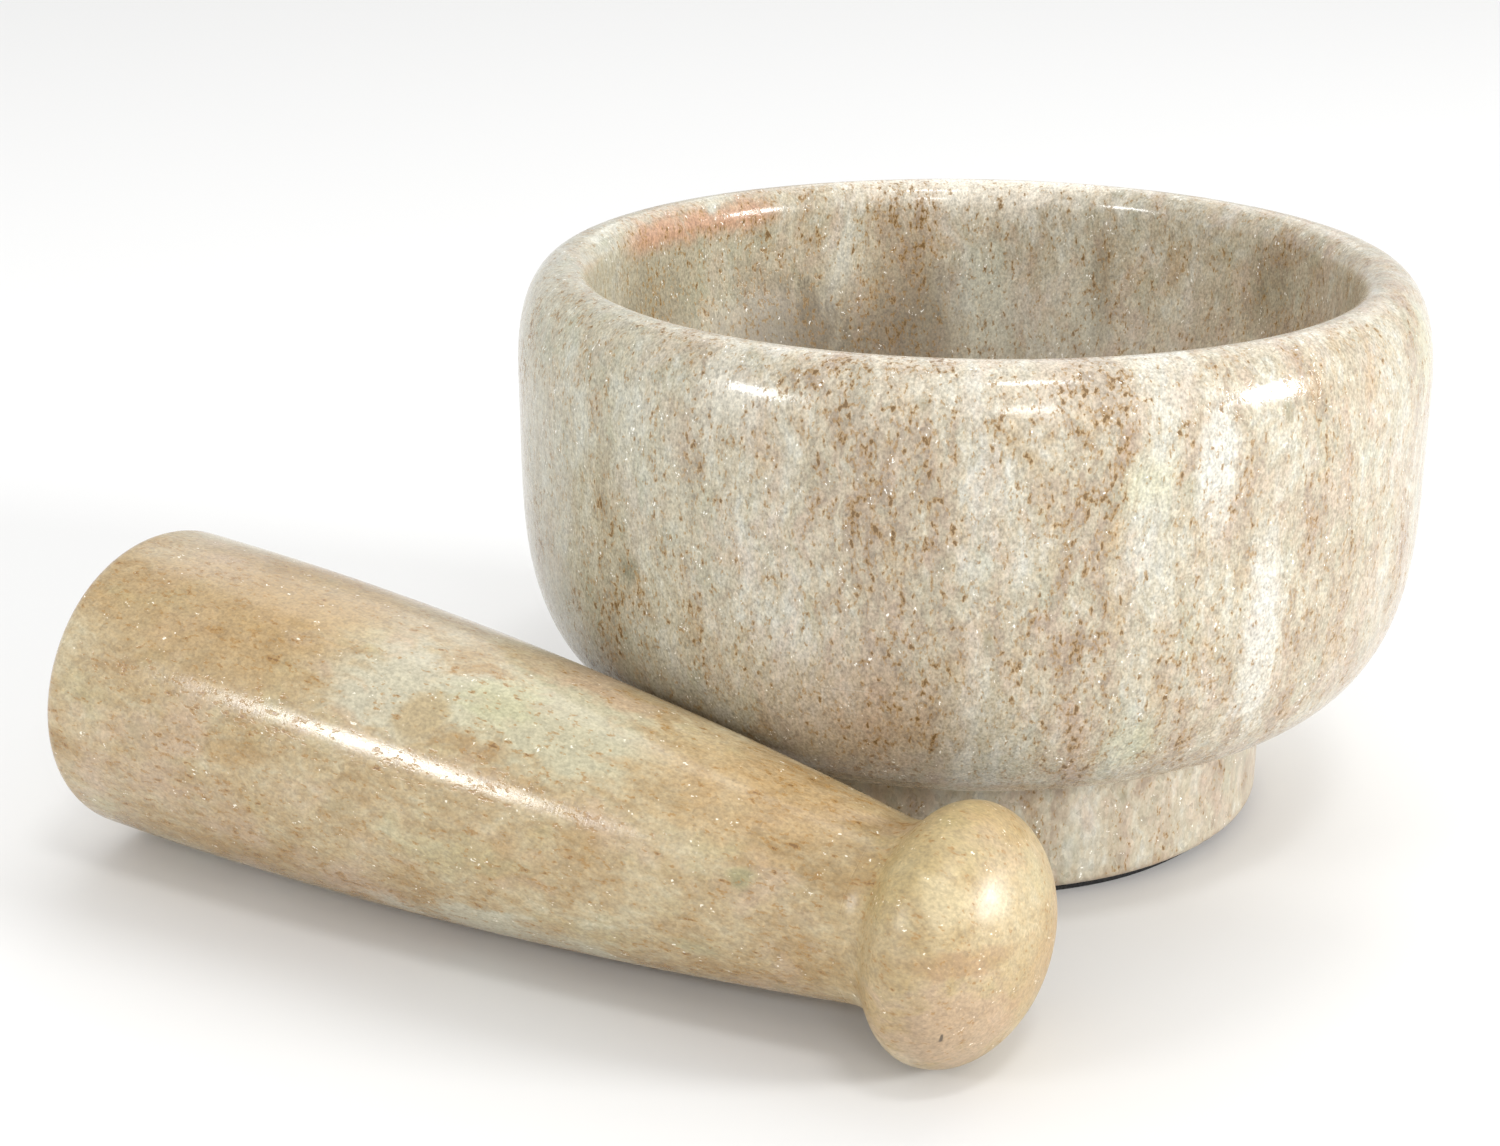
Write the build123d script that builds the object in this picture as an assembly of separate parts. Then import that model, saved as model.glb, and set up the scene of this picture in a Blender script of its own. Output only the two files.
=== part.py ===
from build123d import *

import os
from math import acos, asin, cos, degrees, hypot, radians, sin

# A small mortar and pestle, each turned from one piece of stone. Millimetres, +Z up.
# The origin is on the bowl's axis, on the underside of the pad that the mortar stands on.
# The pestle lies on the table in front of the bowl, its fat end to the left.

# Mortar: outside
BOWL_RADIUS = 51.0  # widest part of the wall
HEIGHT = 63.0  # table to the top of the lip
WALL_BOTTOM = 43.6  # the wall is upright from here ...
WALL_TOP = 51.3  # ... to here, where the lip starts to roll in
UNDERSIDE_CENTRE = 26.9  # the underside is a quarter of a squarish oval about this radius
UNDERSIDE_LEVEL = 14.4  # the oval's lowest level
UNDERSIDE_SQUARENESS = 3.17
LIP_CREST_RADIUS = 45.3
LIP_SQUARENESS = 2.3

# Mortar: inside
MOUTH_RADIUS = 42.6
LIP_INNER_ROLL = 3.2  # height of the lip's inner rounding
CAVITY_FLOOR = 19.0
CAVITY_SQUARENESS = 2.3

# Mortar: foot, and the pad glued under it
FOOT_RADIUS = 35.2
FOOT_EDGE_ROUNDING = 1.1
FOOT_JOIN_FILLET = 0.8
PAD_RADIUS = 33.1
PAD_THICKNESS = 1.4

# Pestle, measured along its own axis from the tip of the fat grinding end
GRIND_RADIUS = 17.1
GRIND_DOME_RADIUS = 33.7
GRIND_SHOULDER_ROUNDING = 2.4
MIDDLE = 52.8
MIDDLE_RADIUS = 14.93
KNOB_CENTRE = 105.7
KNOB_RADIUS = 12.85
KNOB_BACK = 7.5
KNOB_FRONT = 8.75
NECK_RADIUS = 8.9
NECK_FILLET = 0.6

# Pestle: where it lies, with its belly and its knob both on the table
TIP_X = -94.75
TIP_Y = -19.2
HEADING = -25.84  # degrees from +X, towards the front
DIP = 2.72  # degrees, the knob lower than the fat end

CURVE_POINTS = 9


def oval(centre, half_width, half_height, squareness, start, end):
    """Points along an oval that is squarer than an ellipse when squareness is above 2."""
    points = []
    for i in range(CURVE_POINTS):
        angle = radians(start + (end - start) * i / (CURVE_POINTS - 1))
        across, up = cos(angle), sin(angle)
        x = half_width * abs(across) ** (2 / squareness)
        y = half_height * abs(up) ** (2 / squareness)
        points.append((centre[0] + x, centre[1] + (y if up > 0 else -y)))
    return points


def ring_at(body, centre):
    """The turned body's round edge whose middle is nearest to a point on its axis."""
    rings = body.edges().filter_by(GeomType.CIRCLE)
    return min(rings, key=lambda ring: (ring.arc_center - Vector(centre)).length)


def make_mortar():
    underside_width = BOWL_RADIUS - UNDERSIDE_CENTRE
    foot_share = (FOOT_RADIUS - UNDERSIDE_CENTRE) / underside_width
    join_angle = degrees(acos(foot_share ** (UNDERSIDE_SQUARENESS / 2)))
    underside = oval(
        (UNDERSIDE_CENTRE, WALL_BOTTOM),
        underside_width,
        WALL_BOTTOM - UNDERSIDE_LEVEL,
        UNDERSIDE_SQUARENESS,
        -join_angle,
        0,
    )
    lip_width = BOWL_RADIUS - LIP_CREST_RADIUS
    lip = oval(
        (LIP_CREST_RADIUS, WALL_TOP), lip_width, HEIGHT - WALL_TOP, LIP_SQUARENESS, 0, 90
    )
    mouth = HEIGHT - LIP_INNER_ROLL
    roll_width = LIP_CREST_RADIUS - MOUTH_RADIUS
    roll = EllipticalCenterArc(
        (LIP_CREST_RADIUS, mouth), roll_width, LIP_INNER_ROLL, 90, arc_size=90
    )
    cavity = oval(
        (0, mouth), MOUTH_RADIUS, mouth - CAVITY_FLOOR, CAVITY_SQUARENESS, 0, -90
    )
    foot_join = underside[0]
    outline = Curve() + [
        Polyline((0, PAD_THICKNESS), (FOOT_RADIUS, PAD_THICKNESS), foot_join),
        Spline(underside),
        Line(underside[-1], lip[0]),
        Spline(lip, tangents=[(0, 1), (-1, 0)]),
        roll,
        Spline(cavity, tangents=[(0, -1), (-1, 0)]),
        Line((0, CAVITY_FLOOR), (0, PAD_THICKNESS)),
    ]
    body = revolve(Plane.XZ * make_face(outline), Axis.Z)
    body = fillet(ring_at(body, (0, 0, PAD_THICKNESS)), FOOT_EDGE_ROUNDING)
    return fillet(ring_at(body, (0, 0, foot_join[1])), FOOT_JOIN_FILLET)


def make_pad():
    return Pos(0, 0, PAD_THICKNESS / 2) * Cylinder(PAD_RADIUS, PAD_THICKNESS)


def make_pestle():
    """The pestle standing along +X from its tip, then laid down on the table."""
    dome_depth = GRIND_DOME_RADIUS * (1 - cos(asin(GRIND_RADIUS / GRIND_DOME_RADIUS)))
    dome_halfway = GRIND_DOME_RADIUS * (1 - cos(asin(GRIND_RADIUS / GRIND_DOME_RADIUS) / 2))
    dome_half_radius = GRIND_DOME_RADIUS * sin(asin(GRIND_RADIUS / GRIND_DOME_RADIUS) / 2)
    neck_angle = 180 - degrees(asin(NECK_RADIUS / KNOB_RADIUS))
    neck = KNOB_CENTRE + KNOB_BACK * cos(radians(neck_angle))
    outline = Curve() + [
        ThreePointArc((0, 0), (dome_halfway, dome_half_radius), (dome_depth, GRIND_RADIUS)),
        ThreePointArc((dome_depth, GRIND_RADIUS), (MIDDLE, MIDDLE_RADIUS), (neck, NECK_RADIUS)),
        EllipticalCenterArc(
            (KNOB_CENTRE, 0), KNOB_BACK, KNOB_RADIUS, 90, arc_size=neck_angle - 90
        ),
        EllipticalCenterArc((KNOB_CENTRE, 0), KNOB_FRONT, KNOB_RADIUS, 0, arc_size=90),
        Line((KNOB_CENTRE + KNOB_FRONT, 0), (0, 0)),
    ]
    pestle = revolve(make_face(outline), Axis.X)
    pestle = fillet(ring_at(pestle, (dome_depth, 0, 0)), GRIND_SHOULDER_ROUNDING)
    pestle = fillet(ring_at(pestle, (neck, 0, 0)), NECK_FILLET)
    dip = radians(DIP)
    knob_drop = hypot(KNOB_RADIUS * cos(dip), KNOB_BACK * sin(dip))
    tip_z = knob_drop + KNOB_CENTRE * sin(dip)
    return Pos(TIP_X, TIP_Y, tip_z) * Rot(0, 0, HEADING) * Rot(0, DIP, 0) * pestle


os.makedirs("parts", exist_ok=True)
export_step(make_mortar(), "parts/mortar.step")
export_step(make_pad(), "parts/foot_pad.step")
export_step(make_pestle(), "parts/pestle.step")
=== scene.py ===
import math
import random

import bpy
import numpy as np
from mathutils import Matrix, Vector


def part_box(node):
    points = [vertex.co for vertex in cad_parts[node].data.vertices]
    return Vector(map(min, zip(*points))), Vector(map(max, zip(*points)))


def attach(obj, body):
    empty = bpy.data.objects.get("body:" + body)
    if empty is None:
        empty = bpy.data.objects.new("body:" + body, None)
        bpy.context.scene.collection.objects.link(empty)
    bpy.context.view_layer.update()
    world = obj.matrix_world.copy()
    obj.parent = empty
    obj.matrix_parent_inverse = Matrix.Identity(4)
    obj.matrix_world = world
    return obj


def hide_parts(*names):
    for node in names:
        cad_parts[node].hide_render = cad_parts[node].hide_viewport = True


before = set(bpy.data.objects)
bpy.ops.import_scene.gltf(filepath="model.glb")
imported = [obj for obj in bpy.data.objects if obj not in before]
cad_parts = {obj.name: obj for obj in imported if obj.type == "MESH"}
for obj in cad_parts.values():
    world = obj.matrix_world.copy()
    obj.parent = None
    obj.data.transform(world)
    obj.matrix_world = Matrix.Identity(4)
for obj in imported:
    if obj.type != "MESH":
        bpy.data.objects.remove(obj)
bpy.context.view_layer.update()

MM = 0.001  # a millimetre, in metres

# ---------------------------------------------------------------- sizes, in mm
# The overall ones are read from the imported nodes, and the others repeat part.py's.
mortar_low, mortar_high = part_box("mortar")
pad_low, pad_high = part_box("foot_pad")
BOWL_R = (mortar_high[0] - mortar_low[0]) / 2 / MM
HEIGHT = mortar_high[2] / MM
PAD_R = (pad_high[0] - pad_low[0]) / 2 / MM
PAD_TOP = pad_high[2] / MM
# mortar: heights of the straight wall's ends, then its underside, lip, mouth, cavity and foot
WALL_BOTTOM, WALL_TOP = 43.6, 51.3
UNDERSIDE_R, UNDERSIDE_Z, UNDERSIDE_SQUARE = 26.9, 14.4, 3.17
LIP_R, LIP_SQUARE = 45.3, 2.3
MOUTH_R, INNER_ROLL = 42.6, 3.2
FLOOR_Z, CAVITY_SQUARE = 19.0, 2.3
FOOT_R, FOOT_EDGE, JOIN_FILLET = 35.2, 1.1, 0.9
FOOT_TOP = 14.4  # where the foot meets the bowl, for the material
PAD_ROUND = 0.4

# pestle: the fat end that grinds, with its dome and shoulder, a place half way, the neck, the knob
GRIND_R, DOME_R, SHOULDER = 17.1, 33.7, 2.4
MIDDLE, MIDDLE_R = 52.8, 14.93
KNOB, KNOB_R, KNOB_BACK, KNOB_FRONT = 105.7, 12.85, 7.5, 8.75
NECK_R = 8.9
# where its tip lies on the table, which way it points, and how far its knob end dips
TIP = (-94.75, -19.2)
HEADING, DIP = math.radians(-25.84), math.radians(2.72)

# slow wobble of stone that was finished by hand: seed, most waves round, size in mm
MORTAR_RIPPLE, PESTLE_RIPPLE, PAD_RIPPLE = (3, 6, 0.11), (5, 5, 0.07), (8, 24, 0.05)
MORTAR_SEGMENTS, PESTLE_SEGMENTS, PAD_SEGMENTS = 432, 300, 360
# chips round the foot's edge: seed, how many, least and most size, least and most depth in mm
FOOT_CHIPS = ((11, 26, (1.2, 2.6), (0.15, 0.5)), (12, 60, (0.6, 1.1), (0.08, 0.25)))


# ---------------------------------------------------------------- outlines
def oval(centre, half_width, half_height, square, start, end, count):
    """A stretch of an oval, from one angle to another in degrees, as an array of (r, z)."""
    angle = np.radians(np.linspace(start, end, count))
    across, up = np.cos(angle), np.sin(angle)
    r = centre[0] + np.sign(across) * half_width * np.abs(across) ** (2 / square)
    z = centre[1] + np.sign(up) * half_height * np.abs(up) ** (2 / square)
    return np.stack([r, z], 1)


def line(start, end, count):
    """Evenly spaced points from one (r, z) to another."""
    return np.linspace(start, end, count)


def arc(centre, radius, start, end, count):
    """A stretch of a circle, as oval() gives one."""
    return oval(centre, radius, radius, 2, start, end, count)


def even(points, count):
    """The same line with its points spread evenly along it."""
    step = np.hypot(*np.diff(points, axis=0).T)
    along = np.concatenate([[0], np.cumsum(step)])
    want = np.linspace(0, along[-1], count)
    return np.stack([np.interp(want, along, points[:, k]) for k in (0, 1)], 1)


def joined(*stretches):
    """Stretches end to end, with the repeated points left out."""
    points = [stretches[0]]
    for stretch in stretches[1:]:
        near = np.hypot(*(stretch[0] - points[-1][-1])) < 1e-4
        points.append(stretch[1:] if near else stretch)
    return np.concatenate(points)


def mortar_outline():
    """From the middle of the foot's underside, up the outside, over the lip and down the cavity."""
    share = (FOOT_R + JOIN_FILLET - UNDERSIDE_R) / (BOWL_R - UNDERSIDE_R)
    join = math.degrees(math.acos(share ** (UNDERSIDE_SQUARE / 2)))
    wide, deep = BOWL_R - UNDERSIDE_R, WALL_BOTTOM - UNDERSIDE_Z
    below = oval((UNDERSIDE_R, WALL_BOTTOM), wide, deep, UNDERSIDE_SQUARE, -join, 0, 400)
    join_z = below[0][1]
    mouth = HEIGHT - INNER_ROLL
    wall = joined(below, line((BOWL_R, WALL_BOTTOM), (BOWL_R, WALL_TOP), 20))
    lip = oval((LIP_R, WALL_TOP), BOWL_R - LIP_R, HEIGHT - WALL_TOP, LIP_SQUARE, 0, 90, 400)
    roll = oval((LIP_R, mouth), LIP_R - MOUTH_R, INNER_ROLL, 2, 90, 180, 60)
    cavity = oval((0, mouth), MOUTH_R, mouth - FLOOR_Z, CAVITY_SQUARE, 0, -90, 600)
    return joined(
        line((0, PAD_TOP), (FOOT_R - FOOT_EDGE, PAD_TOP), 14),
        arc((FOOT_R - FOOT_EDGE, PAD_TOP + FOOT_EDGE), FOOT_EDGE, -90, 0, 9),
        line((FOOT_R, PAD_TOP + FOOT_EDGE), (FOOT_R, join_z - JOIN_FILLET), 20),
        arc((FOOT_R + JOIN_FILLET, join_z - JOIN_FILLET), JOIN_FILLET, 180, 90, 8),
        even(wall, 62),
        even(lip, 26),
        even(roll, 9),
        even(cavity, 54),
    )


def circle_through(a, b, c):
    """Centre and radius of the circle through three points."""
    rows = np.array([[2 * (p[0] - a[0]), 2 * (p[1] - a[1])] for p in (b, c)])
    sums = [p[0] ** 2 + p[1] ** 2 - a[0] ** 2 - a[1] ** 2 for p in (b, c)]
    x, y = np.linalg.solve(rows, sums)
    return np.array([x, y]), math.hypot(a[0] - x, a[1] - y)


def pestle_outline():
    """(distance from the axis, distance along it) from the tip of the fat end to the knob's end."""
    depth = DOME_R - math.sqrt(DOME_R**2 - GRIND_R**2)
    neck_share = math.sqrt(1 - (NECK_R / KNOB_R) ** 2)
    neck = KNOB - KNOB_BACK * neck_share
    shaft_c, shaft_r = circle_through((GRIND_R, depth), (MIDDLE_R, MIDDLE), (NECK_R, neck))
    dome_c = np.array([0.0, DOME_R])
    # the shoulder's centre is a shoulder inside both the dome's and the shaft's circles
    apart = shaft_c - dome_c
    gap = np.hypot(*apart)
    near, far = DOME_R - SHOULDER, shaft_r - SHOULDER
    along = (gap**2 + near**2 - far**2) / (2 * gap)
    off = math.sqrt(near**2 - along**2)
    unit = apart / gap
    across = np.array([-unit[1], unit[0]])
    options = [dome_c + unit * along + across * off * side for side in (1, -1)]
    shoulder_c = min(options, key=lambda p: abs(p[1] - depth) + abs(p[0] - GRIND_R + SHOULDER))
    from_dome = math.degrees(math.atan2(*(shoulder_c - dome_c)[::-1]))
    from_shaft = math.degrees(math.atan2(*(shoulder_c - shaft_c)[::-1]))
    dome = arc(dome_c, DOME_R, -90, from_dome, 26)
    shoulder = arc(shoulder_c, SHOULDER, from_dome, from_shaft, 12)
    end_angle = math.degrees(math.atan2(neck - shaft_c[1], NECK_R - shaft_c[0]))
    shaft = even(arc(shaft_c, shaft_r, from_shaft, end_angle, 400), 120)
    turn = math.degrees(math.asin(neck_share))
    back = even(oval((0, KNOB), KNOB_R, KNOB_BACK, 2, -turn, 0, 200), 18)
    front = even(oval((0, KNOB), KNOB_R, KNOB_FRONT, 2, 0, 90, 200), 34)
    return soften_neck(joined(dome, shoulder, shaft, back, front), neck)


def soften_neck(outline, neck, reach=2.2, times=14):
    """Rounds the crease between neck and knob, reach mm to each side, and leaves the rest alone."""
    soft = outline.copy()
    weight = np.clip(1 - np.abs(outline[:, 1] - neck) / reach, 0, 1)[:, None]
    for _ in range(times):
        middle = (soft[:-2] + soft[2:]) / 2
        soft[1:-1] += (middle - soft[1:-1]) * weight[1:-1] * 0.5
    return soft


def pad_outline():
    flat, half = PAD_R - PAD_ROUND, PAD_TOP / 2
    return joined(
        line((0, 0.0), (flat, 0.0), 24),
        oval((flat, half), PAD_ROUND, half, 3.0, -90, 90, 15),
        line((flat, PAD_TOP), (0, PAD_TOP), 16),
    )


# ---------------------------------------------------------------- turned meshes
def placed(name, data):
    """A new object in the scene."""
    made = bpy.data.objects.new(name, data)
    bpy.context.scene.collection.objects.link(made)
    return made


def ripple(seed, waves, size):
    """A slow random wobble, as a function of angle and height that gives mm."""
    draw = random.Random(seed)
    terms = [
        (
            draw.randint(1, waves),
            draw.uniform(-0.09, 0.09),
            draw.uniform(0, math.tau),
            draw.uniform(0.4, 1),
        )
        for _ in range(9)
    ]
    total = sum(term[3] for term in terms)

    def wobble(angle, height):
        waves_here = (
            weight * np.sin(around * angle + along * height + start)
            for around, along, start, weight in terms
        )
        return size * sum(waves_here) / total * 2

    return wobble


def turned(name, outline, segments, wobble, edit=None):
    """A closed mesh turned from an outline of (r, z) in mm whose two ends are on the axis."""
    rings = outline[1:-1]
    angle = np.linspace(0, math.tau, segments, endpoint=False)[None, :]
    r = np.repeat(rings[:, :1], segments, 1)
    z = np.repeat(rings[:, 1:], segments, 1)
    r = r + wobble(angle, z) * np.clip(r / 6, 0, 1)  # none at the axis
    points = np.stack([r * np.cos(angle), r * np.sin(angle), z], -1)
    if edit:
        points = edit(points)
    start, end = [0, 0, outline[0][1]], [0, 0, outline[-1][1]]
    count = len(rings)
    verts = np.concatenate([points.reshape(-1, 3), [start, end]]) * MM
    here = np.arange(segments)[None, :]
    after = (here + 1) % segments
    low = np.arange(count - 1)[:, None] * segments
    high = low + segments
    quads = np.stack([low + here, low + after, high + after, high + here], -1).reshape(-1, 4)
    first, last = count * segments, count * segments + 1
    row = (count - 1) * segments
    pairs = list(zip(here[0].tolist(), after[0].tolist()))
    faces = quads.tolist()
    faces += [(first, b, a) for a, b in pairs]
    faces += [(last, row + a, row + b) for a, b in pairs]
    mesh = bpy.data.meshes.new(name)
    mesh.from_pydata(verts.tolist(), [], faces)
    mesh.validate()
    mesh.shade_smooth()
    return placed(name, mesh)


def chipped(points, chips):
    """Scoops a small hollow out of the stone round each (centre, radius), in mm."""
    for centre, radius in chips:
        away = points - np.array(centre)
        gap = np.linalg.norm(away, axis=-1, keepdims=True)
        points = np.where(gap < radius, centre + away / np.maximum(gap, 1e-6) * radius, points)
    return points


def edge_chips(seed, count, r, z, drop, sizes, depths):
    """Chips along a round edge; drop is the angle, below level, that the edge faces."""
    draw = random.Random(seed)
    chips = []
    for _ in range(count):
        turn = draw.uniform(0, math.tau)
        radius = draw.uniform(*sizes)
        out = radius - draw.uniform(*depths)
        reach, low = r + out * math.cos(drop), z - out * math.sin(drop)
        chips.append(((reach * math.cos(turn), reach * math.sin(turn), low), radius))
    return chips


def worn_foot(points):
    """The mortar's points with chips along the middle of the foot's rounded lower edge."""
    rim, level = FOOT_R - FOOT_EDGE * 0.3, PAD_TOP + FOOT_EDGE * 0.3
    for seed, count, sizes, depths in FOOT_CHIPS:
        chips = edge_chips(seed, count, rim, level, math.radians(45), sizes, depths)
        points = chipped(points, chips)
    return points


mortar = turned(
    "mortar_stone", mortar_outline(), MORTAR_SEGMENTS, ripple(*MORTAR_RIPPLE), worn_foot
)
pestle = turned("pestle_stone", pestle_outline(), PESTLE_SEGMENTS, ripple(*PESTLE_RIPPLE))
pad = turned("rubber_pad", pad_outline(), PAD_SEGMENTS, ripple(*PAD_RIPPLE))

# The pestle lies on its shaft and its knob. Its own frame starts at the fat end's tip, with Z
# along its axis, -X upwards and -Y towards the camera.
knob_drop = math.hypot(KNOB_R * math.cos(DIP), KNOB_BACK * math.sin(DIP))
tip_z = knob_drop + KNOB * math.sin(DIP)
pestle_frame = (
    Matrix.Translation(Vector((TIP[0], TIP[1], tip_z)) * MM)
    @ Matrix.Rotation(HEADING, 4, "Z")
    @ Matrix.Rotation(DIP + math.pi / 2, 4, "Y")
)
pestle.data.transform(pestle_frame)
for vertex in pestle.data.vertices:
    vertex.co.z = max(vertex.co.z, 0.0)  # the ripple doesn't reach into the floor

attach(mortar, "mortar_body")
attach(pad, "mortar_body")
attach(pestle, "pestle_body")
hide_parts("mortar")
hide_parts("foot_pad")
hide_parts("pestle")


# ---------------------------------------------------------------- materials
def colour(red, green, blue):
    """An sRGB colour of 0 to 255 as Blender's linear one."""
    def one(value):
        value /= 255
        return value / 12.92 if value <= 0.04045 else ((value + 0.055) / 1.055) ** 2.4
    return (one(red), one(green), one(blue), 1)


class Weave:
    """Short names for the shader nodes of one material."""

    def __init__(self, name):
        self.material = bpy.data.materials.new(name)
        self.material.use_nodes = True
        self.tree = self.material.node_tree
        self.shader = self.tree.nodes["Principled BSDF"]

    def node(self, kind, **settings):
        """A new node with these settings."""
        made = self.tree.nodes.new(kind)
        for key, value in settings.items():
            setattr(made, key, value)
        return made

    def feed(self, socket, value):
        """Links an output to a socket, or sets the socket to a plain value."""
        if isinstance(value, bpy.types.NodeSocket):
            self.tree.links.new(value, socket)
        else:
            socket.default_value = value

    def math(self, operation, first, second=0.0, third=0.0):
        made = self.node("ShaderNodeMath", operation=operation)
        for socket, value in zip(made.inputs, (first, second, third)):
            self.feed(socket, value)
        return made.outputs[0]

    def times(self, first, second):
        return self.math("MULTIPLY", first, second)

    def plus(self, first, second):
        return self.math("ADD", first, second)

    def both(self, *values):
        """The product of masks."""
        result = values[0]
        for value in values[1:]:
            result = self.times(result, value)
        return result

    def vector(self, operation, first, second=(0, 0, 0)):
        made = self.node("ShaderNodeVectorMath", operation=operation)
        self.feed(made.inputs[0], first)
        if operation == "SCALE":
            self.feed(made.inputs[3], second)
        else:
            self.feed(made.inputs[1], second)
        return made.outputs[1 if operation in ("LENGTH", "DISTANCE", "DOT_PRODUCT") else 0]

    def split(self, vector):
        made = self.node("ShaderNodeSeparateXYZ")
        self.feed(made.inputs[0], vector)
        return made.outputs

    def join(self, x, y, z):
        made = self.node("ShaderNodeCombineXYZ")
        for socket, value in zip(made.inputs, (x, y, z)):
            self.feed(socket, value)
        return made.outputs[0]

    def step(self, value, low, high, to_low=0.0, to_high=1.0):
        """0 to 1, smoothly, as value goes from low to high."""
        made = self.node("ShaderNodeMapRange", interpolation_type="SMOOTHSTEP")
        for socket, amount in zip(made.inputs, (value, low, high, to_low, to_high)):
            self.feed(socket, amount)
        return made.outputs[0]

    def noise(self, vector, scale, detail, rough=0.55):
        """Outputs of a noise: its value first, and three more of them as "Color"."""
        made = self.node("ShaderNodeTexNoise")
        self.feed(made.inputs["Vector"], vector)
        made.inputs["Scale"].default_value = scale
        made.inputs["Detail"].default_value = detail
        made.inputs["Roughness"].default_value = rough
        return made.outputs

    def cells(self, vector, scale):
        """Outputs of scattered cells: "Distance" from each middle, and a random "Color"."""
        made = self.node("ShaderNodeTexVoronoi")
        self.feed(made.inputs["Vector"], vector)
        made.inputs["Scale"].default_value = scale
        return made.outputs

    def mix(self, share, first, second, blend="MIX"):
        made = self.node("ShaderNodeMix", data_type="RGBA", blend_type=blend)
        self.feed(made.inputs[0], share)
        self.feed(made.inputs[6], first)
        self.feed(made.inputs[7], second)
        return made.outputs[2]

    def ramp(self, value, stops):
        made = self.node("ShaderNodeValToRGB")
        made.color_ramp.interpolation = "B_SPLINE"
        elements = made.color_ramp.elements
        while len(elements) < len(stops):
            elements.new(0.5)
        for element, (place, shade) in zip(elements, stops):
            element.position = place
            element.color = shade
        self.feed(made.inputs[0], value)
        return made.outputs[0]

    def bump(self, height, distance, strength=1.0):
        """A normal for relief of height times distance, in metres."""
        made = self.node("ShaderNodeBump")
        made.inputs["Strength"].default_value = strength
        made.inputs["Distance"].default_value = distance
        self.feed(made.inputs["Height"], height)
        return made.outputs[0]


def stone_space(w, turn, offset, swirl, frame_in=None):
    """Places in the stone, in mm: plain, turned so that X crosses the beds, and folded too.

    The stone is turned by so many radians and shifted by offset, and folded by up to swirl mm.
    Without frame_in the places are the scene's own.
    """
    place = w.vector("SCALE", w.node("ShaderNodeTexCoord").outputs["Object"], 1000.0)
    if frame_in is not None:
        own = w.node("ShaderNodeMapping", vector_type="TEXTURE")
        w.feed(own.inputs["Vector"], place)
        own.inputs["Location"].default_value = frame_in.translation / MM
        own.inputs["Rotation"].default_value = frame_in.to_euler()
        place = own.outputs[0]
    bed = w.node("ShaderNodeMapping")
    w.feed(bed.inputs["Vector"], place)
    bed.inputs["Rotation"].default_value = (0, 0, turn)
    bed.inputs["Location"].default_value = offset
    bed = bed.outputs[0]
    fold = w.noise(bed, 0.07, 4.0, 0.6)["Color"]
    fold = w.vector("SCALE", w.vector("SUBTRACT", fold, (0.5, 0.5, 0.5)), swirl)
    return place, bed, w.vector("ADD", bed, fold)


def stretched(w, vector, across, through, along):
    """The space squeezed, so that one unit is so many mm across, through and along the beds."""
    return w.vector("MULTIPLY", vector, (1 / across, 1 / through, 1 / along))


def spots(w, space, spacing, radius, soft, chance):
    """Scattered round blots: a mask of blobs so many mm apart, present by chance."""
    cell = w.cells(stretched(w, space, *spacing), 1.0)
    shade = w.split(cell["Color"])
    size = w.math("MULTIPLY_ADD", shade[1], radius * 0.8, radius * 0.5)
    blob = w.step(w.math("SUBTRACT", cell["Distance"], size), soft, -soft)
    present = w.step(w.math("SUBTRACT", chance, shade[0]), -0.02, 0.02)
    return w.both(blob, present)


def place_mask(w, mm, centre, size, edge, ragged=0.0):
    """1 inside an ellipsoid of so many mm, fading out at its edge."""
    away = w.vector("LENGTH", w.vector("DIVIDE", w.vector("SUBTRACT", mm, centre), size))
    return w.step(w.plus(away, ragged), 1 + edge, 1 - edge)


def patched(w, body, mm, patches, edge, ragged):
    """The colour with each patch laid over it, fading over the share edge of its size."""
    for centre, size, share, tint in patches:
        mask = place_mask(w, mm, centre, size, edge, ragged)
        body = w.mix(w.times(mask, share), body, colour(*tint))
    return body


def bed_sum(w, cross, beds):
    """The tone added by single beds, each (place across, half width, fade, amount)."""
    total = 0.0
    for middle, half_width, fade, amount in beds:
        gap = w.math("ABSOLUTE", w.math("SUBTRACT", cross, middle))
        bed = w.step(gap, half_width + fade, half_width * 0.3)
        total = w.plus(total, w.times(bed, amount))
    return total


def grained(w, body, crystal, sand, crystal_share, sand_share):
    """The colour with each crystal a little lighter or darker, and salt and pepper over it."""
    light = w.math("MULTIPLY_ADD", w.math("SUBTRACT", crystal, 0.5), crystal_share, 1.0)
    light = w.math("MULTIPLY_ADD", w.math("SUBTRACT", sand, 0.5), sand_share, light)
    return w.mix(1.0, body, w.join(light, light, light), "MULTIPLY")


# beds of the mortar's stone: place across, half width and fade in mm, and how much darker
MORTAR_BEDS = (
    # pale
    (7.2, 1.2, 2.6, -0.17), (-9.4, 0.4, 1.5, -0.12), (37.7, 0.5, 1.6, -0.09),
    (-46.5, 1.4, 3.0, -0.08), (-40.0, 0.7, 2.0, -0.07), (20.0, 0.8, 2.2, -0.08),
    (-27.0, 0.6, 2.0, -0.06),
    # dark
    (1.6, 2.2, 2.8, 0.13), (-12.8, 0.7, 1.7, 0.08), (-20.5, 0.9, 2.4, 0.07),
    (-43.2, 0.4, 1.2, 0.12), (12.6, 0.6, 1.6, 0.07), (24.2, 1.2, 2.4, 0.08),
    (40.6, 0.9, 2.0, 0.09), (-34.5, 0.5, 1.5, 0.07),
)

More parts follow.
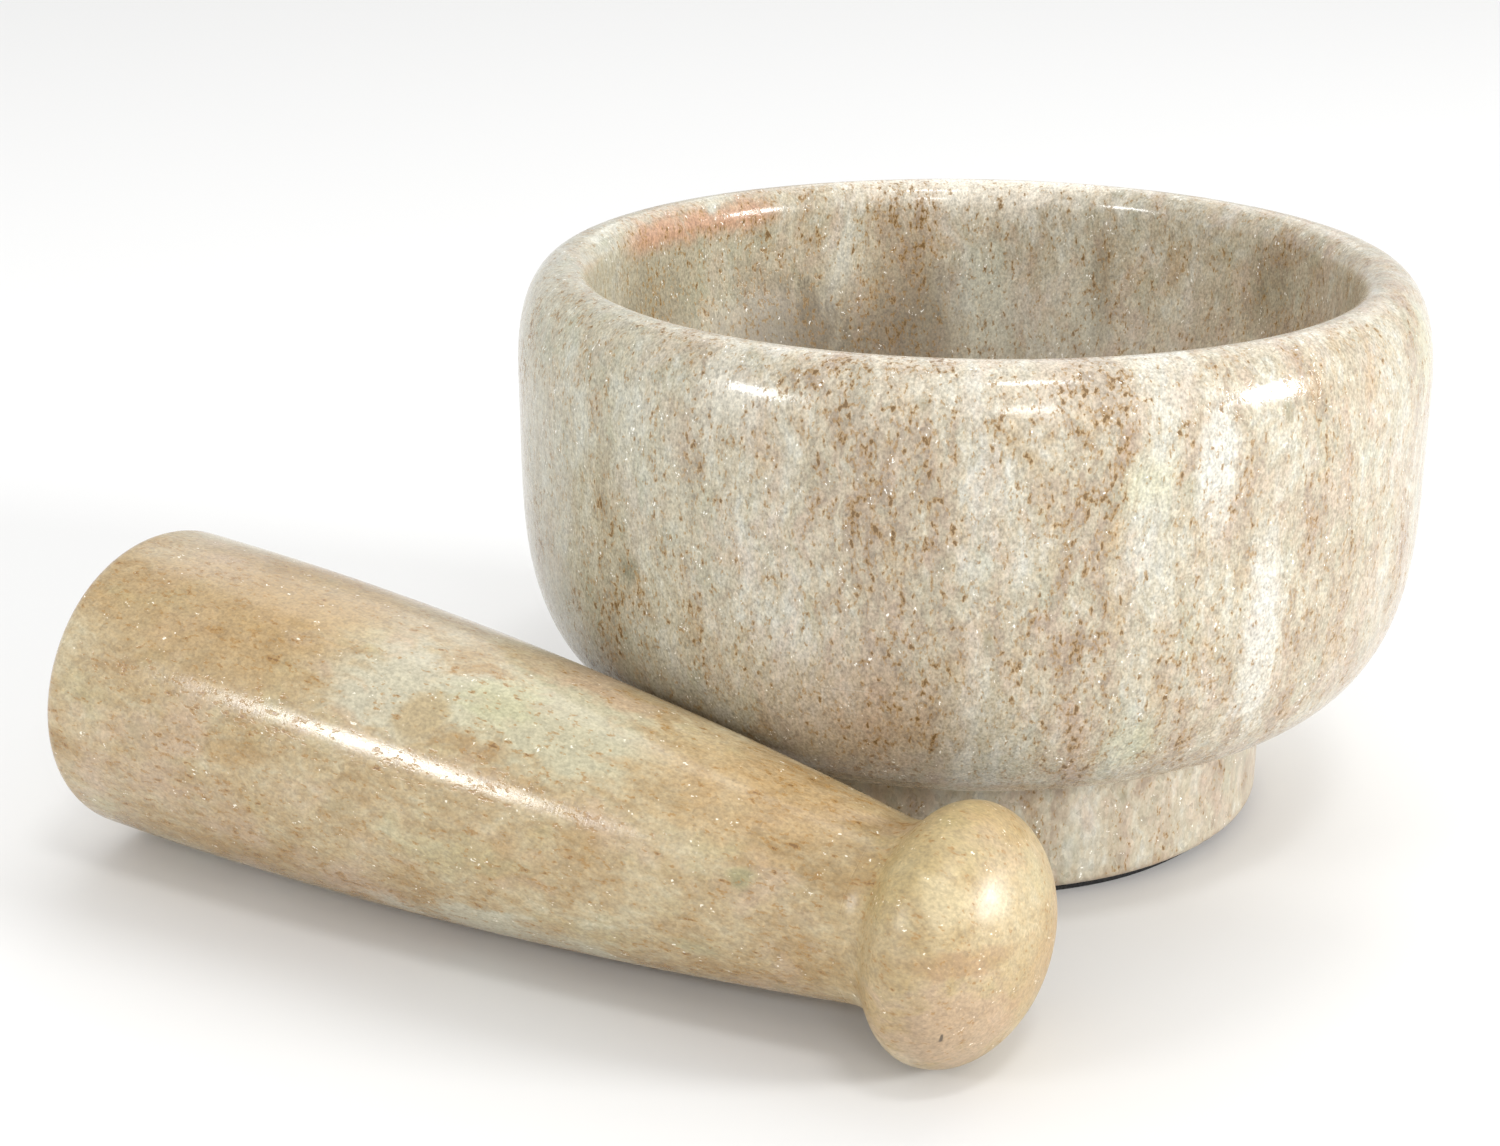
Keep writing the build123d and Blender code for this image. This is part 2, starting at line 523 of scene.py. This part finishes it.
# patches placed where the photograph shows them: centre, half sizes (mm), share, sRGB
MORTAR_PATCHES = (
    ((17.0, -44.5, 24.5), (2.4, 5.0, 2.8), 0.4, (176, 184, 152)),  # green in the pale bed
    ((17.5, -47.5, 52.0), (2.8, 5.0, 2.2), 0.3, (203, 198, 160)),  # yellow above it
    ((24.0, -45.0, 53.5), (1.8, 5.0, 5.5), 0.75, (213, 212, 203)),  # upper pale streak
    ((29.5, -41.0, 34.0), (1.9, 5.0, 9.5), 0.62, (211, 210, 202)),  # lower pale streak
    ((-23.3, -43.7, 58.5), (3.0, 4.0, 4.0), 0.6, (204, 200, 186)),  # pale, under the lip
    ((-33.7, -38.2, 38.2), (0.9, 2.0, 1.3), 0.75, (126, 124, 104)),  # grey-green blot
    ((-10.6, -49.0, 27.5), (9.0, 7.0, 6.0), 0.35, (184, 156, 134)),  # pinkish cloud
    ((-22.0, -36.0, 19.5), (17.0, 12.0, 6.5), 0.5, (132, 108, 78)),  # rusty, with painted shade by the pestle
    ((-20.9, 35.6, 47.5), (1.4, 3.0, 3.0), 0.8, (92, 78, 46)),  # inside: dark blot
    ((-24.0, 33.2, 44.0), (9.0, 8.0, 7.5), 0.8, (112, 98, 74)),  # inside: darker brown patch
    ((-8.0, 39.7, 43.0), (8.0, 7.0, 7.5), 0.6, (118, 104, 80)),  # inside: darker brown patch
    ((2.6, 41.5, 48.0), (2.6, 5.0, 9.0), 0.75, (196, 195, 178)),  # inside: pale bed
    ((47.5, -16.0, 57.0), (3.0, 5.0, 4.0), 0.45, (184, 184, 146)),  # yellow-green at the right
    ((8.0, 45.0, 62.5), (24.0, 5.0, 3.5), 0.8, (224, 216, 200)),  # painted reflection, pale along the back of the lip
    ((14.5, 39.2, 47.5), (2.2, 5.0, 9.0), 0.5, (192, 190, 172)),  # inside: pale bed
    ((16.8, 38.3, 51.0), (1.3, 4.0, 6.0), 0.5, (126, 112, 90)),  # inside: thin dark bed
    ((-8.4, 40.5, 52.0), (3.5, 5.0, 6.0), 0.4, (140, 124, 100)),  # inside: dark bed
    ((36.0, 22.5, 54.0), (2.6, 4.0, 5.0), 0.5, (130, 120, 96)),  # inside: dark bed
    ((-37.5, 16.0, 50.0), (6.0, 9.0, 8.0), 0.55, (128, 118, 96)),  # inside: left
    ((4.0, -46.5, 61.0), (22.0, 5.0, 4.0), 0.30, (216, 208, 192)),  # painted light from above, pale along the front of the lip
)


def mortar_marble():
    w = Weave("mortar_marble")
    mm, bed, space = stone_space(w, math.radians(-12), (0, 0, 0), 7.0)
    x, y, z = w.split(mm)
    radius = w.math("SQRT", w.plus(w.times(x, x), w.times(y, y)))
    # broad, middling and fine beds, all standing upright, and the single beds among them
    broad = w.noise(stretched(w, space, 11, 24, 38), 1.0, 2.0)[0]
    middle = w.noise(stretched(w, space, 2.2, 4.0, 6.0), 1.0, 3.0, 0.65)[0]
    fine = w.noise(stretched(w, space, 0.7, 1.2, 2.4), 1.0, 2.0, 0.65)[0]
    # upright streaks that show where the beds are seen face on, on the left and right sides
    side = w.noise(stretched(w, space, 40, 2.6, 17), 1.0, 3.0, 0.6)[0]
    cross = w.split(space)[0]
    tone = w.plus(w.times(broad, 0.65), w.plus(w.times(middle, 0.85), w.times(fine, 0.65)))
    tone = w.plus(tone, w.times(w.math("SUBTRACT", side, 0.5), 0.45))
    single = w.times(bed_sum(w, cross, MORTAR_BEDS), w.step(middle, 0.30, 0.62, 0.35, 1.5))
    level = w.math("ADD", w.plus(tone, single), -0.575)
    body = w.ramp(level, [
        (0.10, colour(207, 207, 199)), (0.32, colour(194, 189, 173)), (0.50, colour(183, 172, 148)),
        (0.68, colour(171, 156, 136)), (0.92, colour(150, 131, 110)),
    ])
    # pinkish, ochre and greenish clouds
    clouds = w.noise(stretched(w, space, 3.2, 5, 8), 1.0, 4.0, 0.65)["Color"]
    cloud_r, cloud_g, cloud_b = w.split(clouds)
    body = w.mix(w.step(cloud_r, 0.46, 0.68, 0, 0.5), body, colour(186, 165, 147))
    body = w.mix(w.step(cloud_g, 0.50, 0.72, 0, 0.50), body, colour(176, 151, 114))
    left = w.step(x, -12.0, -40.0, 0.0, 0.42)
    body = w.mix(w.plus(w.step(cloud_b, 0.50, 0.70, 0, 0.45), left), body, colour(163, 162, 140))
    # placed patches, with ragged edges
    ragged = w.times(w.math("SUBTRACT", middle, 0.5), 1.8)
    ragged = w.plus(ragged, w.times(w.math("SUBTRACT", fine, 0.5), 1.3))
    body = patched(w, body, mm, MORTAR_PATCHES, 0.7, ragged)
    # the salmon vein along the back of the lip's inside
    near = place_mask(w, mm, (-34.0, 25.0, 60.5), (12.5, 13.5, 5.0), 0.3)
    wander = w.math("MULTIPLY_ADD", w.math("SUBTRACT", middle, 0.5), 4.0, 60.6)
    sheet = w.math("SUBTRACT", z, wander)
    vein = w.both(near, w.step(w.math("ABSOLUTE", sheet), 3.0, 0.2), w.step(radius, 46.2, 43.8))
    vein = w.both(vein, w.step(middle, 0.25, 0.42))
    body = w.mix(w.times(vein, 0.7), body, colour(192, 142, 112))
    # crystals and sand
    cell = w.split(w.cells(stretched(w, bed, 0.55, 0.55, 0.75), 1.0)["Color"])
    sand = w.noise(stretched(w, bed, 0.27, 0.27, 0.38), 1.0, 1.0, 0.6)[0]
    sandy = w.step(z, FOOT_TOP - 0.5, FOOT_TOP + 0.5, 0.5, 1.15)
    body = grained(w, body, cell[0], sand, 0.24, sandy)
    # rust coloured specks, leaning and upright, gathered in the darker beds
    elsewhere = w.vector("ADD", bed, (7, 3, 5))
    field = w.noise(stretched(w, elsewhere, 0.52, 0.52, 0.85), 1.0, 2.0, 0.6)[0]
    streak = w.noise(stretched(w, space, 0.9, 2.5, 13.0), 1.0, 2.0, 0.6)[0]
    crowd = w.math("MULTIPLY_ADD", w.math("SUBTRACT", level, 0.5), 0.25, -0.008)
    crowd = w.math("MULTIPLY_ADD", w.math("SUBTRACT", cloud_g, 0.5), 0.18, crowd)
    crowd = w.math("MULTIPLY_ADD", w.math("SUBTRACT", streak, 0.5), 0.30, crowd)
    foot = w.step(z, FOOT_TOP + 0.5, FOOT_TOP - 0.5)
    sparse = w.math("MULTIPLY_ADD", foot, 1.4, w.step(x, 16.0, 36.0))
    crowd = w.math("MULTIPLY_ADD", sparse, -0.035, crowd)
    field = w.plus(field, crowd)
    rust = w.step(field, 0.555, 0.66)
    body = w.mix(w.times(rust, 0.66), body, colour(160, 124, 66))
    body = w.mix(w.step(field, 0.635, 0.735, 0, 0.85), body, colour(104, 77, 38))
    # grey-green blots, rare, and white crystals painted bright as glints
    blot = spots(w, space, (9.0, 9.0, 13.0), 0.08, 0.06, 0.4)
    body = w.mix(w.times(blot, 0.5), body, colour(120, 118, 92))
    crystal_glint = w.both(w.step(cell[1], 0.955, 0.96), w.step(sand, 0.62, 0.68))
    body = w.mix(w.times(crystal_glint, 0.95), body, colour(255, 253, 246))
    # turning marks: thin pale arcs on the lower bowl
    angle = w.math("ARCTAN2", y, x)
    marks = w.noise(w.join(w.times(angle, 2.6), w.times(z, 3.4), 0.0), 1.0, 2.0, 0.6)[0]
    marks = w.both(w.step(marks, 0.68, 0.76), w.step(z, 50.0, 38.0), w.step(z, 12.0, 18.0))
    body = w.mix(w.times(marks, 0.25), body, colour(222, 216, 202))
    # a rustier foot edge, painted shade in the crease above the foot, and painted shade low in the
    # cavity
    outside = w.step(radius, 33.0, 34.5)
    # painted shade where the bowl overhangs the top of the foot
    crease_shade = w.step(w.math("ABSOLUTE", w.math("SUBTRACT", z, 14.3)), 1.1, 0.1)
    body = w.mix(w.both(crease_shade, outside, 0.35), body, colour(128, 100, 70))
    edge = w.step(w.plus(z, w.times(cloud_b, 2.4)), 4.2, 2.6)
    body = w.mix(w.times(edge, 0.4), body, colour(150, 116, 86))
    inside = w.both(w.step(radius, 43.2, 41.0), w.step(z, 18.0, 18.9))
    # painted shade: the cavity darker the deeper it goes
    cavity_shade = w.step(w.math("MULTIPLY_ADD", w.math("SUBTRACT", broad, 0.5), 30.0, z), 54.0, 34.0)
    body = w.mix(w.both(inside, cavity_shade, 0.38), body, colour(122, 108, 84))
    w.feed(w.shader.inputs["Base Color"], body)
    # polish: glassy crystals, duller specks and marks, a duller foot and a worn cavity floor
    gloss = w.math("MULTIPLY_ADD", cell[0], 0.05, 0.09)
    gloss = w.math("MULTIPLY_ADD", broad, 0.08, gloss)
    for share, amount in ((rust, 0.16), (marks, 0.15), (foot, 0.14), (edge, 0.15)):
        gloss = w.math("MULTIPLY_ADD", share, amount, gloss)
    gloss = w.math("MULTIPLY_ADD", w.times(inside, w.step(z, 57.0, 47.0)), 0.34, gloss)
    w.feed(w.shader.inputs["Roughness"], gloss)
    w.shader.inputs["IOR"].default_value = 1.55
    # relief, in mm: slow polish waves, crystals, pits where specks fell out, turning marks
    relief = w.times(w.noise(mm, 0.22, 1.0)[0], 0.07)
    relief = w.math("MULTIPLY_ADD", cell[0], 0.003, relief)
    relief = w.math("MULTIPLY_ADD", sand, 0.008, relief)
    relief = w.math("MULTIPLY_ADD", rust, -0.014, relief)
    relief = w.math("MULTIPLY_ADD", marks, -0.012, relief)
    w.feed(w.shader.inputs["Normal"], w.bump(relief, MM))
    return w.material


# the same for the pestle, in its own frame
PESTLE_PATCHES = (
    ((-12.6, -8.6, 46.5), (3.4, 6.0, 7.5), 0.85, (188, 183, 160)),  # pale patch, its near end
    ((-13.2, -6.8, 56.0), (2.6, 5.0, 5.0), 0.7, (187, 183, 158)),  # pale patch, its middle
    ((-13.2, -7.0, 64.0), (4.2, 6.0, 9.0), 0.85, (184, 179, 151)),  # pale patch, its far end
    ((-13.5, -6.0, 58.0), (2.2, 4.0, 3.6), 0.45, (182, 180, 138)),  # green in it
    ((-11.3, -10.1, 50.5), (1.8, 3.0, 2.6), 0.6, (166, 138, 88)),  # ochre in it
    ((9.5, -11.0, 62.0), (3.5, 4.0, 13.0), 0.6, (188, 186, 166)),  # pale streak underneath
    ((-15.0, -8.0, 22.0), (8.0, 9.0, 14.0), 0.6, (172, 143, 98)),  # ochre fat end
    ((-16.2, -2.0, 30.0), (4.0, 7.0, 9.0), 0.5, (174, 141, 86)),  # ochre above the patch
    ((-11.0, -4.0, 86.0), (6.0, 6.0, 9.0), 0.5, (180, 148, 102)),  # ochre before the neck
    ((-4.6, -10.6, 88.0), (1.3, 3.0, 1.4), 0.7, (142, 138, 98)),  # green-grey blot
    ((3.0, -13.5, 84.0), (2.0, 3.0, 2.6), 0.4, (146, 140, 98)),  # green-grey blot
    ((-11.0, -6.0, 104.0), (6.0, 8.0, 5.0), 0.5, (176, 156, 104)),  # knob: olive back
    ((4.0, -9.0, 110.0), (6.0, 6.0, 6.0), 0.7, (178, 151, 124)),  # knob: pinkish front
    ((-3.0, -9.0, 110.5), (1.1, 6.0, 6.0), 0.5, (156, 120, 72)),  # knob: brown line
    ((-7.5, -8.0, 108.0), (2.4, 3.5, 2.6), 0.6, (200, 184, 146)),  # knob: pale side
    ((7.5, -7.0, 105.0), (2.4, 3.5, 2.6), 0.6, (204, 190, 160)),  # knob: pale side
    ((1.5, 3.5, 113.0), (3.5, 8.0, 6.0), 0.5, (168, 134, 88)),  # knob: ochre end
)


def pestle_marble():
    w = Weave("pestle_marble")
    mm, bed, space = stone_space(w, math.radians(35), (31, 12, 57), 8.0, pestle_frame)
    x, y, z = w.split(mm)
    broad = w.noise(stretched(w, space, 12, 13, 30), 1.0, 2.0)[0]
    middle = w.noise(stretched(w, space, 2.8, 3.6, 7.5), 1.0, 3.0, 0.65)[0]
    fine = w.noise(stretched(w, space, 0.8, 1.0, 2.2), 1.0, 2.0, 0.65)[0]
    tone = w.plus(w.times(broad, 0.75), w.plus(w.times(middle, 0.8), w.times(fine, 0.5)))
    level = w.math("ADD", tone, -0.525)
    body = w.ramp(level, [
        (0.10, colour(198, 192, 165)), (0.32, colour(186, 171, 138)), (0.50, colour(176, 155, 117)),
        (0.68, colour(161, 134, 91)), (0.92, colour(139, 110, 66)),
    ])
    clouds = w.noise(stretched(w, space, 8, 9, 14), 1.0, 3.0, 0.6)["Color"]
    cloud_r, cloud_g, cloud_b = w.split(clouds)
    body = w.mix(w.step(cloud_r, 0.48, 0.68, 0, 0.55), body, colour(190, 166, 143))
    body = w.mix(w.step(cloud_g, 0.52, 0.72, 0, 0.55), body, colour(169, 137, 85))
    body = w.mix(w.step(cloud_b, 0.54, 0.72, 0, 0.40), body, colour(176, 172, 132))
    # the knob is the yellowest part, olive on top and pinkish at its middle
    body = w.mix(w.step(z, 92.0, 106.0, 0.0, 0.38), body, colour(177, 156, 111))
    ragged = w.times(w.math("SUBTRACT", middle, 0.5), 2.6)
    body = patched(w, body, mm, PESTLE_PATCHES, 0.45, ragged)
    cell = w.split(w.cells(stretched(w, bed, 0.6, 0.6, 0.8), 1.0)["Color"])
    sand = w.noise(stretched(w, bed, 0.30, 0.30, 0.42), 1.0, 1.0, 0.6)[0]
    body = grained(w, body, cell[0], sand, 0.18, 0.75)
    # gold specks, thickest in the darker clouds and rare on the knob
    elsewhere = w.vector("ADD", bed, (7, 3, 5))
    field = w.noise(stretched(w, elsewhere, 0.55, 0.55, 1.1), 1.0, 2.0, 0.6)[0]
    field = w.plus(field, w.math("MULTIPLY_ADD", w.math("SUBTRACT", level, 0.5), 0.40, -0.02))
    field = w.plus(field, w.step(z, 92.0, 100.0, -0.012, -0.04))
    rust = w.step(field, 0.555, 0.665)
    body = w.mix(w.times(rust, 0.68), body, colour(160, 119, 56))
    body = w.mix(w.step(field, 0.66, 0.76, 0, 0.75), body, colour(110, 77, 37))
    # a few dark minerals, the most in one cluster, and grey-green blots
    cluster = place_mask(w, mm, (0.7, -13.3, 73.0), (3.0, 4.0, 3.0), 0.5)
    dark = spots(w, space, (3.2, 3.2, 3.8), 0.07, 0.03, w.math("MULTIPLY_ADD", cluster, 0.6, 0.08))
    body = w.mix(w.times(dark, 0.85), body, colour(62, 52, 38))
    blot = spots(w, space, (12.0, 12.0, 16.0), 0.09, 0.08, 0.35)
    body = w.mix(w.times(blot, 0.35), body, colour(142, 136, 98))
    # white crystals painted bright as glints
    crystal_glint = w.both(w.step(cell[1], 0.96, 0.965), w.step(sand, 0.62, 0.68))
    body = w.mix(w.times(crystal_glint, 0.85), body, colour(252, 246, 228))
    w.feed(w.shader.inputs["Base Color"], body)
    # fine marks round the shaft from turning and polishing
    angle = w.math("ARCTAN2", y, x)
    rings = w.noise(w.join(w.times(angle, 1.2), 0.0, w.times(z, 4.6)), 1.0, 3.0, 0.65)[0]
    ends = w.step(z, 5.0, 1.0)
    gloss = w.math("MULTIPLY_ADD", broad, 0.08, 0.11)
    knob = w.step(z, 96.0, 101.0)
    for share, amount in ((rings, 0.08), (ends, 0.16), (rust, 0.08), (knob, 0.20)):
        gloss = w.math("MULTIPLY_ADD", share, amount, gloss)
    w.feed(w.shader.inputs["Roughness"], gloss)
    w.shader.inputs["IOR"].default_value = 1.68
    relief = w.times(w.noise(mm, 0.2, 1.0)[0], 0.06)
    relief = w.math("MULTIPLY_ADD", cell[0], 0.003, relief)
    relief = w.math("MULTIPLY_ADD", sand, 0.005, relief)
    relief = w.math("MULTIPLY_ADD", rings, 0.009, relief)
    relief = w.math("MULTIPLY_ADD", w.math("MAXIMUM", rust, dark), -0.01, relief)
    w.feed(w.shader.inputs["Normal"], w.bump(relief, MM))
    return w.material


def pad_rubber():
    w = Weave("pad_rubber")
    mm = w.vector("SCALE", w.node("ShaderNodeTexCoord").outputs["Object"], 1000.0)
    foam = w.cells(mm, 1.9)["Distance"]
    dust = w.noise(mm, 0.5, 4.0, 0.6)[0]
    body = w.mix(w.step(dust, 0.45, 0.75), colour(24, 24, 25), colour(52, 50, 47))
    w.feed(w.shader.inputs["Base Color"], body)
    w.feed(w.shader.inputs["Roughness"], w.plus(0.75, w.times(foam, 0.15)))
    w.feed(w.shader.inputs["Normal"], w.bump(foam, 0.0002, 0.6))
    return w.material


mortar.data.materials.append(mortar_marble())
pestle.data.materials.append(pestle_marble())
pad.data.materials.append(pad_rubber())


# ---------------------------------------------------------------- floor, light and camera
# name, azimuth clockwise from +Y and elevation in degrees, width and height in m, power in W
SOFTBOXES = (
    ("key_right", 104, 18, 0.24, 0.18, 8.2),
    ("left", -127, 25, 0.27, 0.12, 2.3),
    ("front", 165, 29, 0.20, 0.09, 1.0),
    ("top", 155, 66, 0.24, 0.10, 1.8),
)
LIGHT_DISTANCE = 1.1


def floor_plane(half):
    """A plain pale floor, half metres to each side."""
    mesh = bpy.data.meshes.new("floor")
    corners = [(-half, -half, 0), (half, -half, 0), (half, half, 0), (-half, half, 0)]
    mesh.from_pydata(corners, [], [(0, 1, 2, 3)])
    floor = placed("floor", mesh)
    w = Weave("white_sweep")
    w.shader.inputs["Base Color"].default_value = (0.76, 0.76, 0.755, 1)
    w.shader.inputs["Roughness"].default_value = 0.7
    mesh.materials.append(w.material)


def softbox(name, azimuth, elevation, width, height, power):
    """A soft light aimed at the middle of the bowl."""
    light = bpy.data.lights.new(name, "AREA")
    light.shape = "RECTANGLE"
    light.size, light.size_y = width, height
    light.energy = power
    lamp = placed(name, light)
    turn, rise = math.radians(azimuth), math.radians(elevation)
    flat = math.cos(rise)
    away = Vector((math.sin(turn) * flat, math.cos(turn) * flat, math.sin(rise)))
    aim = Vector((0, 0, HEIGHT / 2 * MM))
    lamp.location = aim + away * LIGHT_DISTANCE
    lamp.rotation_euler = away.to_track_quat("Z", "Y").to_euler()


floor_plane(6.0)
for settings in SOFTBOXES:
    softbox(*settings)

# broad daylight from behind, without a hard edge on the floor
sun = bpy.data.lights.new("back_window", "SUN")
sun.energy, sun.angle = 0.8, math.radians(60)
window = placed("back_window", sun)
window.rotation_euler = (math.radians(-42), 0, math.radians(-10))

world = bpy.data.worlds.new("studio")
world.use_nodes = True
sky = world.node_tree.nodes["Background"].inputs
sky["Color"].default_value = (1, 1, 1, 1)
sky["Strength"].default_value = 0.82
bpy.context.scene.world = world

# the camera stands in front, looks down, and aims to the left of the bowl
CAMERA_BACK, CAMERA_UP = 5.2, 2.38  # in bowl radii
PITCH, YAW, ROLL = math.radians(20.02), math.radians(5.39), math.radians(-0.13)
lens = bpy.data.cameras.new("camera")
lens.sensor_width = 36
lens.lens = 57.4
camera = placed("camera", lens)
camera.matrix_world = (
    Matrix.Translation(Vector((0, -CAMERA_BACK, CAMERA_UP)) * BOWL_R * MM)
    @ Matrix.Rotation(YAW, 4, "Z")
    @ Matrix.Rotation(math.pi / 2 - PITCH, 4, "X")
    @ Matrix.Rotation(ROLL, 4, "Z")
)
bpy.context.scene.camera = camera
bpy.context.scene.view_settings.view_transform = "Standard"
